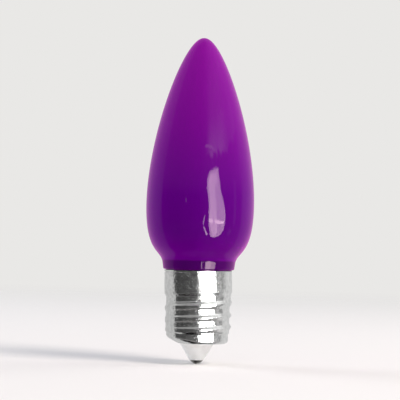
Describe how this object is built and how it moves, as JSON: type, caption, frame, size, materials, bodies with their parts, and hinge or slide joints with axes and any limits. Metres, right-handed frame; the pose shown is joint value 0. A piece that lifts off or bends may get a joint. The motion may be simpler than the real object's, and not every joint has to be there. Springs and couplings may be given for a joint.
{
  "type": "christmas light bulb",
  "caption": "Candle-shaped decorative light bulb with a smooth opaque cover, a short collar, a threaded metal screw cap, a white insulating cone and a small domed end contact.",
  "frame": {"origin": "lowest point of the centre contact, on the bulb's own axis", "axes": "+Z along the bulb's axis, from the centre contact to the tip of the cover; the foot of the shell is sloped on its -X side"},
  "size_m": [0.0264, 0.0262, 0.0794],
  "materials": {
    "cover_plastic": "smooth glossy purple moulding",
    "shell_metal": "bright nickel plating on drawn sheet",
    "insulator_plastic": "white moulding, slightly soft sheen",
    "contact_metal": "dull tinned metal"
  },
  "bodies": {
    "root": {"envelope": "cover_plastic", "screw_shell": "shell_metal", "insulator": "insulator_plastic", "centre_contact": "contact_metal"}
  },
  "joints": []
}
